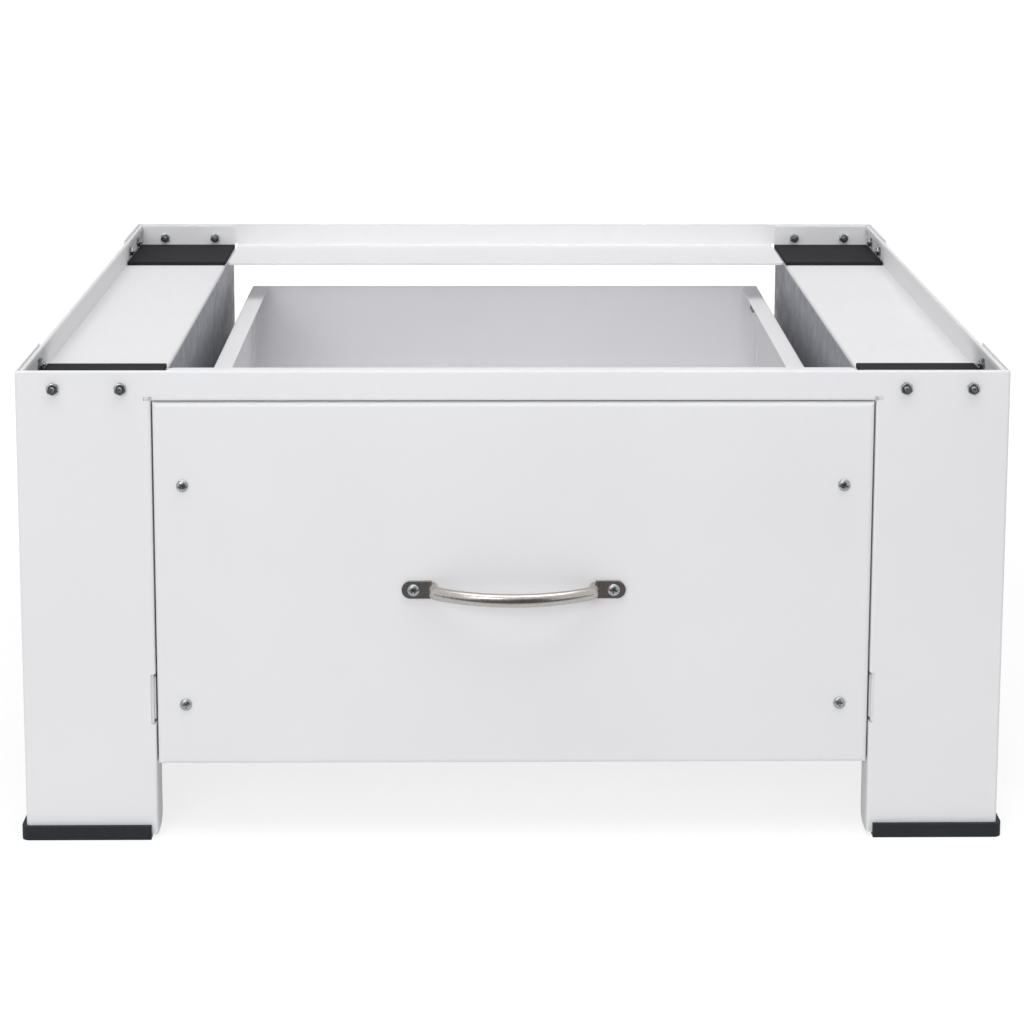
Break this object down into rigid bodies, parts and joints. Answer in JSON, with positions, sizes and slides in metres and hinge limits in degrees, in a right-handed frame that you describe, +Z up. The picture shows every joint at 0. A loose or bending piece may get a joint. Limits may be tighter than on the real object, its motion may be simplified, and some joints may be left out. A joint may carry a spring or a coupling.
{
  "type": "washer pedestal drawer",
  "caption": "Folded sheet-steel pedestal for a washing machine or dryer, with a pull-out drawer on roller rails, rubber shoes and anti-vibration pads.",
  "frame": {"origin": "floor level, centre of the plan outline with shoes and handle", "axes": "+X right seen from the front, +Y to the rear, +Z up"},
  "size_m": [0.636, 0.57, 0.31],
  "materials": {
    "paint": "white powder coat, satin",
    "epoxy": "white epoxy coat",
    "rubber": "matte black rubber",
    "nylon": "white nylon",
    "zinc": "bright zinc plate",
    "nickel": "satin nickel"
  },
  "bodies": {
    "pedestal": {"corner_front_bolts": "zinc", "corner_front_nuts": "zinc", "corner_left_bolts": "zinc", "corner_left_nuts": "zinc", "corner_rear_bolts": "zinc", "corner_rear_nuts": "zinc", "corner_right_bolts": "zinc", "corner_right_nuts": "zinc", "foot_front_left": "rubber", "foot_front_right": "rubber", "foot_rear_left": "rubber", "foot_rear_right": "rubber", "front_frame": "paint", "pad_front_left": "rubber", "pad_front_right": "rubber", "pad_rear_left": "rubber", "pad_rear_right": "rubber", "rear_frame": "paint", "roller_pin_front_left": "zinc", "roller_pin_front_right": "zinc", "runner_fixed_left": "epoxy", "runner_fixed_right": "epoxy", "runner_fixed_screws_left": "zinc", "runner_fixed_screws_right": "zinc", "side_channel_left": "paint", "side_channel_right": "paint", "side_panel_left": "paint", "side_panel_right": "paint"},
    "drawer": {"drawer_back": "paint", "drawer_back_left_bolts": "zinc", "drawer_back_left_nuts": "zinc", "drawer_back_right_bolts": "zinc", "drawer_back_right_nuts": "zinc", "drawer_front": "paint", "drawer_front_bolts": "zinc", "drawer_front_nuts": "zinc", "drawer_tray": "paint", "handle": "nickel", "handle_bolts": "zinc", "handle_nuts": "zinc", "roller_pin_rear_left": "zinc", "roller_pin_rear_right": "zinc", "runner_drawer_left": "epoxy", "runner_drawer_right": "epoxy", "runner_drawer_screws_left": "zinc", "runner_drawer_screws_right": "zinc"},
    "roller_front_left": {"roller_front_left": "nylon"},
    "roller_front_right": {"roller_front_right": "nylon"},
    "roller_rear_left": {"roller_rear_left": "nylon"},
    "roller_rear_right": {"roller_rear_right": "nylon"}
  },
  "joints": [
    {"name": "drawer_slide", "type": "slide", "parent": "pedestal", "child": "drawer", "axis": [0, -1, 0], "range_m": [0, 0.38]},
    {"name": "roller_front_left_spin", "type": "hinge", "parent": "pedestal", "child": "roller_front_left", "pos_m": [-0.22555, -0.228, 0.0925], "axis": [1, 0, 0], "range_deg": [0, 1745]},
    {"name": "roller_front_right_spin", "type": "hinge", "parent": "pedestal", "child": "roller_front_right", "pos_m": [0.22555, -0.228, 0.0925], "axis": [1, 0, 0], "range_deg": [0, 1745]},
    {"name": "roller_rear_left_spin", "type": "hinge", "parent": "drawer", "child": "roller_rear_left", "pos_m": [-0.22145, 0.234, 0.0915], "axis": [1, 0, 0], "range_deg": [0, 1745]},
    {"name": "roller_rear_right_spin", "type": "hinge", "parent": "drawer", "child": "roller_rear_right", "pos_m": [0.22145, 0.234, 0.0915], "axis": [1, 0, 0], "range_deg": [0, 1745]}
  ],
  "couplings": [
    {"joint": "roller_front_left_spin", "follows": "drawer_slide", "rad_per_m": 80},
    {"joint": "roller_front_right_spin", "follows": "drawer_slide", "rad_per_m": 80},
    {"joint": "roller_rear_left_spin", "follows": "drawer_slide", "rad_per_m": 80},
    {"joint": "roller_rear_right_spin", "follows": "drawer_slide", "rad_per_m": 80}
  ]
}
